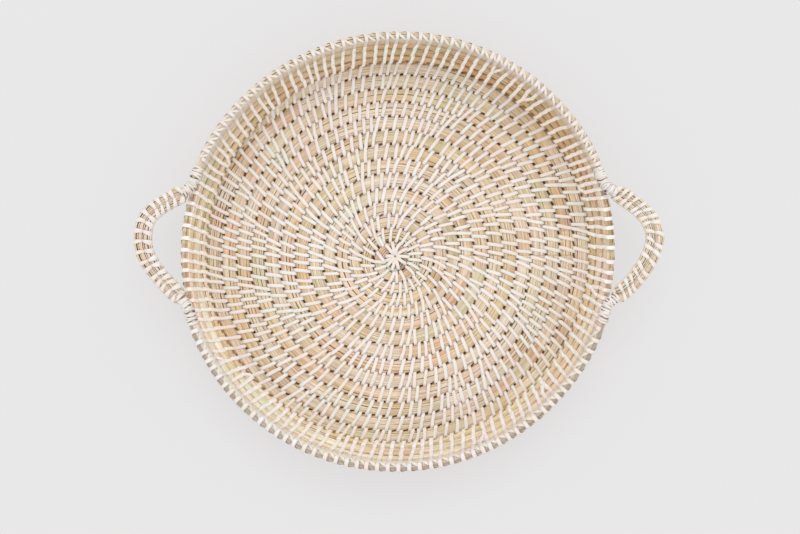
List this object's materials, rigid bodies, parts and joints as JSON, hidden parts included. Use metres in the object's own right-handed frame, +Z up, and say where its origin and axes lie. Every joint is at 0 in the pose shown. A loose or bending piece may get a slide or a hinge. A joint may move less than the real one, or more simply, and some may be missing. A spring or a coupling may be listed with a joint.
{
  "type": "serving tray",
  "caption": "Round coiled seagrass serving tray: flat spiral base, low leaning wall, stitched rim and a loop handle on each side, bound with flat white strip.",
  "frame": {"origin": "middle of the tray on the surface it stands on", "axes": "+Z up out of the tray; the two handles lie on the X axis, left handle at -X; +Y is the back of the tray"},
  "size_m": [0.5126, 0.4264, 0.0693],
  "materials": {
    "seagrass": "dry natural grass bundle, matt with a faint sheen",
    "binding_strip": "flat off-white strip, satin"
  },
  "bodies": {
    "root": {"base_centre_knot": "seagrass", "base_coil_turn_01": "seagrass", "base_coil_turn_02": "seagrass", "base_coil_turn_03": "seagrass", "base_coil_turn_04": "seagrass", "base_coil_turn_05": "seagrass", "base_coil_turn_06": "seagrass", "base_coil_turn_07": "seagrass", "base_coil_turn_08": "seagrass", "base_coil_turn_09": "seagrass", "base_coil_turn_10": "seagrass", "base_coil_turn_11": "seagrass", "base_coil_turn_12": "seagrass", "base_coil_turn_13": "seagrass", "wall_coil_row_1": "seagrass", "wall_coil_row_2": "seagrass", "wall_coil_row_3": "seagrass", "rim_coil_back": "seagrass", "rim_coil_front": "seagrass", "left_handle_outer_coil": "seagrass", "left_handle_inner_coil": "seagrass", "right_handle_outer_coil": "seagrass", "right_handle_inner_coil": "seagrass", "left_handle_binding_strip": "binding_strip", "left_handle_back_lashing": "binding_strip", "left_handle_front_lashing": "binding_strip", "right_handle_binding_strip": "binding_strip", "right_handle_back_lashing": "binding_strip", "right_handle_front_lashing": "binding_strip"}
  },
  "joints": []
}
